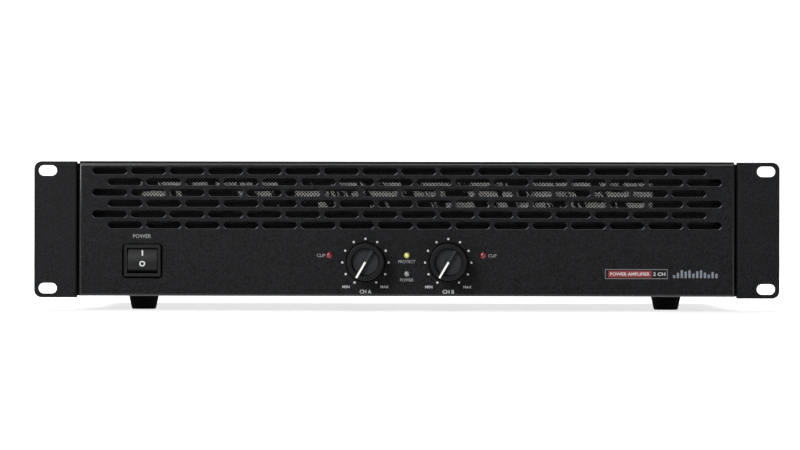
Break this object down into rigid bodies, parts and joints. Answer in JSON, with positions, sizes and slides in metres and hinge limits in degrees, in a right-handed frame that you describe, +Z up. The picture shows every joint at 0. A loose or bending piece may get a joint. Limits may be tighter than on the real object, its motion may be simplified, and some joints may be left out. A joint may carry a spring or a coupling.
{
  "type": "rack power amplifier",
  "caption": "Stereo rack-mount audio power amplifier with vented front panel, level knobs, rocker switch, rack ears, rear fan and sockets.",
  "frame": {"origin": "centre of the overall box at the height of the feet's undersides", "axes": "+X to the right as seen from the front, +Y from the front panel to the rear panel, +Z up"},
  "size_m": [0.4826, 0.306, 0.0963],
  "materials": {
    "powder_coat": "fine-textured black powder coat",
    "galvanised": "galvanised",
    "knob_plastic": "matt black moulding",
    "switch_plastic": "satin black moulding",
    "foot_rubber": "matt",
    "plated_steel": "bright zinc",
    "screen_wire": "woven wire",
    "red_lens": "tinted epoxy",
    "yellow_lens": "tinted epoxy",
    "clear_lens": "milky epoxy",
    "circuit_board": "solder resist",
    "winding_tape": "polyester tape over an iron core and copper wire",
    "aluminium": "extruded",
    "capacitor_sleeve": "shrunk sleeve",
    "black_moulding": "glass-filled nylon",
    "black_epoxy": "moulded epoxy",
    "cable_sleeve": "braided sleeve"
  },
  "bodies": {
    "chassis": {"front_panel": "powder_coat", "rear_panel": "powder_coat", "chassis_floor": "powder_coat", "side_panel_left": "powder_coat", "side_panel_right": "powder_coat", "top_cover": "powder_coat", "rack_ear_left": "powder_coat", "rack_ear_right": "powder_coat", "level_pot_a": "galvanised", "level_pot_b": "galvanised", "transformer_clamp": "galvanised", "mode_switch_body": "galvanised", "power_switch_housing": "switch_plastic", "foot_front_left": "foot_rubber", "foot_front_right": "foot_rubber", "foot_rear_left": "foot_rubber", "foot_rear_right": "foot_rubber", "pot_nut_a": "plated_steel", "pot_nut_b": "plated_steel", "transformer_bolt": "plated_steel", "fan_guard": "plated_steel", "dust_screen": "screen_wire", "clip_led_a": "red_lens", "clip_led_b": "red_lens", "protect_led": "yellow_lens", "power_led": "clear_lens", "control_board": "circuit_board", "power_supply_board": "circuit_board", "amplifier_board_a": "circuit_board", "amplifier_board_b": "circuit_board", "transformer": "winding_tape", "heat_sink_a": "aluminium", "heat_sink_b": "aluminium", "filter_capacitor_1": "capacitor_sleeve", "filter_capacitor_2": "capacitor_sleeve", "filter_capacitor_3": "capacitor_sleeve", "filter_capacitor_4": "capacitor_sleeve", "fan_frame": "black_moulding", "mains_inlet": "black_moulding", "fuse_holder": "black_moulding", "output_socket_a": "black_moulding", "output_socket_b": "black_moulding", "input_socket_a": "black_moulding", "input_socket_b": "black_moulding", "bridge_rectifier": "black_epoxy", "output_transistor_a1": "black_epoxy", "output_transistor_a2": "black_epoxy", "output_transistor_b1": "black_epoxy", "output_transistor_b2": "black_epoxy", "mains_harness": "cable_sleeve"},
    "power_rocker": {"power_switch_rocker": "switch_plastic"},
    "level_a": {"knob_a": "knob_plastic", "level_shaft_a": "plated_steel"},
    "level_b": {"knob_b": "knob_plastic", "level_shaft_b": "plated_steel"},
    "rotor": {"fan_rotor": "black_moulding"},
    "latch_a": {"latch_tab_a": "plated_steel"},
    "latch_b": {"latch_tab_b": "plated_steel"},
    "mode_slider": {"mode_switch_slider": "switch_plastic"},
    "fuse_cap_body": {"fuse_cap": "black_moulding"}
  },
  "joints": [
    {"name": "power_rocker_hinge", "type": "hinge", "parent": "chassis", "child": "power_rocker", "pos_m": [-0.1712, -0.1328, 0.0319], "axis": [1, 0, 0], "range_deg": [0, 20]},
    {"name": "level_a_turn", "type": "hinge", "parent": "chassis", "child": "level_a", "pos_m": [-0.0268, -0.136, 0.0312], "axis": [0, 1, 0], "range_deg": [0, 300]},
    {"name": "level_b_turn", "type": "hinge", "parent": "chassis", "child": "level_b", "pos_m": [0.0268, -0.136, 0.0312], "axis": [0, 1, 0], "range_deg": [0, 300]},
    {"name": "fan_spin", "type": "hinge", "parent": "chassis", "child": "rotor", "pos_m": [0.04, 0.13, 0.0526], "axis": [0, 1, 0], "continuous": true},
    {"name": "latch_a_push", "type": "slide", "parent": "chassis", "child": "latch_a", "axis": [0, -1, 0], "range_m": [0, 0.0015], "stiffness_N_per_m": 400},
    {"name": "latch_b_push", "type": "slide", "parent": "chassis", "child": "latch_b", "axis": [0, -1, 0], "range_m": [0, 0.0015], "stiffness_N_per_m": 400},
    {"name": "mode_select", "type": "slide", "parent": "chassis", "child": "mode_slider", "axis": [1, 0, 0], "range_m": [0, 0.005]},
    {"name": "fuse_cap_turn", "type": "hinge", "parent": "chassis", "child": "fuse_cap_body", "pos_m": [-0.124, 0.144, 0.0507], "axis": [0, 1, 0], "range_deg": [0, 90]}
  ]
}
